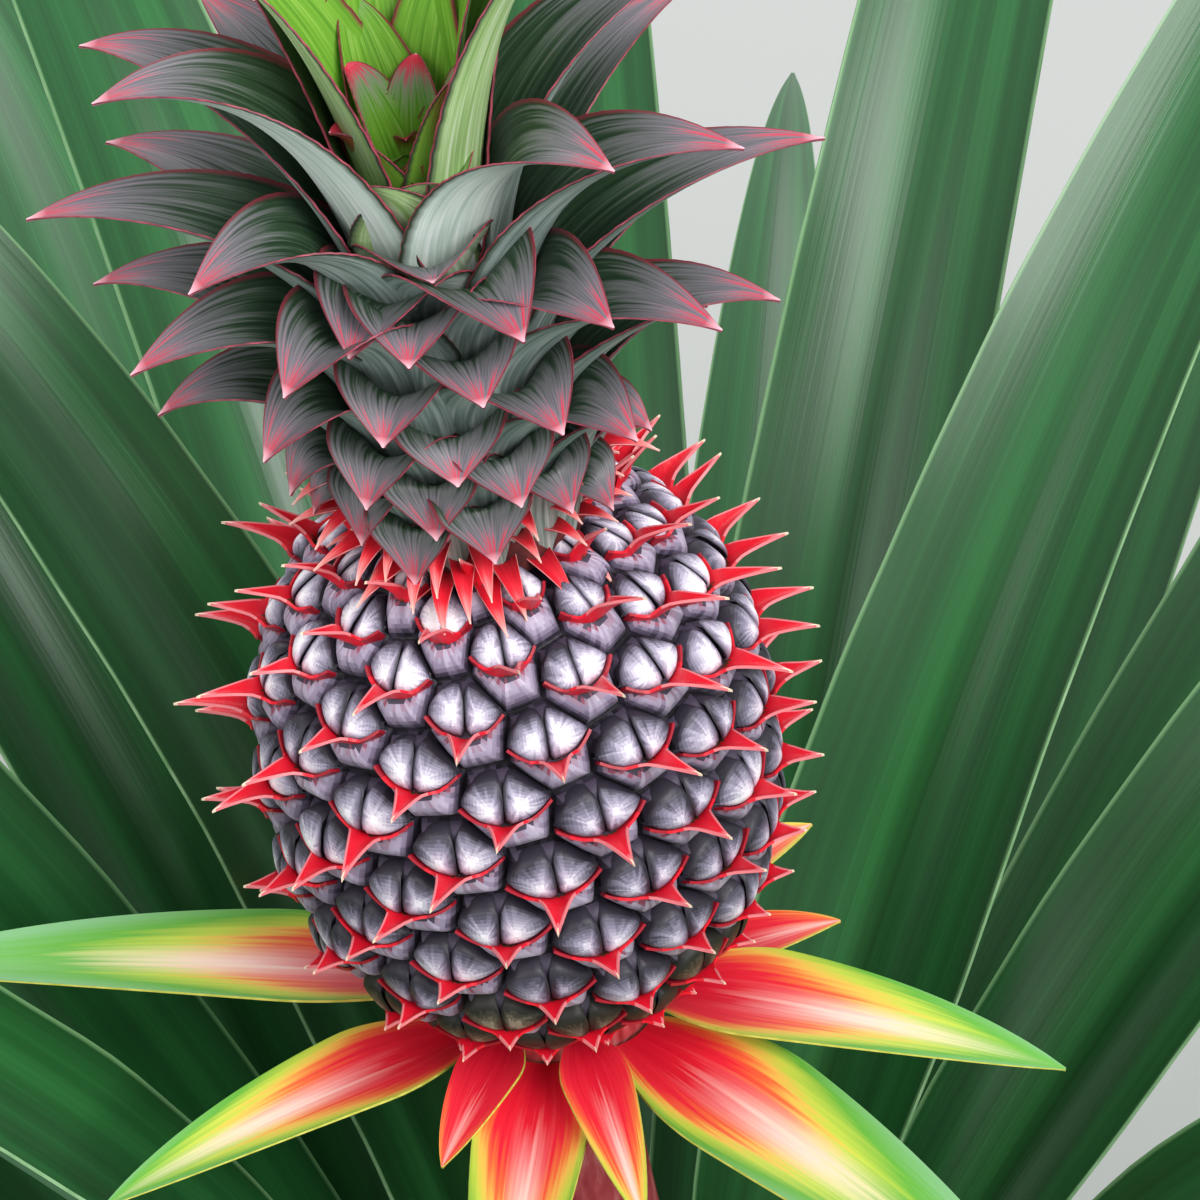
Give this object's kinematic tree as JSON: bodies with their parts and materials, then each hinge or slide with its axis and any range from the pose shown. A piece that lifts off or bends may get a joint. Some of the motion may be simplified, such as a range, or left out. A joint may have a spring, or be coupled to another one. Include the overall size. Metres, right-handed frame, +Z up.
{
  "type": "pineapple plant in fruit",
  "caption": "Whole pineapple plant rooted in the ground: a stem with a rosette of long gutter-shaped leaves, and a leaning stalk with a collar of bracts, one fruit and its leafy crown.",
  "frame": {"origin": "middle of the flat cut under the stem, at ground level", "axes": "+Z up, -Y towards the front of the plant, -X the side the fruit leans to"},
  "size_m": [1.4767, 1.5489, 0.6592],
  "materials": {
    "leaf": "waxy green leaf with a pale bloom in streaks",
    "collar_bract": "satin red bract running to orange, yellow and green",
    "crown_leaf": "dull grey-green leaf with silver bloom and rose tips",
    "fruitlets": "waxy mauve-grey lobes between bright red bract tips",
    "stalk": "fleshy pink-red stalk",
    "stem": "fibrous brown-green stem with ring scars"
  },
  "bodies": {
    "root": {"stem": "stem", "stalk": "stalk", "receptacle": "stalk", "fruit": "fruitlets", "crown": "crown_leaf", "leaf_01": "leaf", "leaf_02": "leaf", "leaf_03": "leaf", "leaf_04": "leaf", "leaf_05": "leaf", "leaf_06": "leaf", "leaf_07": "leaf", "leaf_08": "leaf", "leaf_09": "leaf", "leaf_10": "leaf", "leaf_11": "leaf", "leaf_12": "leaf", "leaf_13": "leaf", "leaf_14": "leaf", "leaf_15": "leaf", "leaf_16": "leaf", "leaf_17": "leaf", "leaf_18": "leaf", "leaf_19": "leaf", "leaf_20": "leaf", "leaf_21": "leaf", "leaf_22": "leaf", "leaf_23": "leaf", "leaf_24": "leaf", "leaf_25": "leaf", "leaf_26": "leaf", "leaf_27": "leaf", "leaf_28": "leaf", "leaf_29": "leaf", "leaf_30": "leaf", "leaf_31": "leaf", "leaf_32": "leaf", "leaf_33": "leaf", "leaf_34": "leaf", "leaf_35": "leaf", "leaf_36": "leaf", "bract_01": "collar_bract", "bract_02": "collar_bract", "bract_03": "collar_bract", "bract_04": "collar_bract", "bract_05": "collar_bract", "bract_06": "collar_bract", "bract_07": "collar_bract", "bract_08": "collar_bract", "bract_09": "collar_bract", "bract_10": "collar_bract", "bract_11": "collar_bract", "bract_12": "collar_bract"}
  },
  "joints": []
}
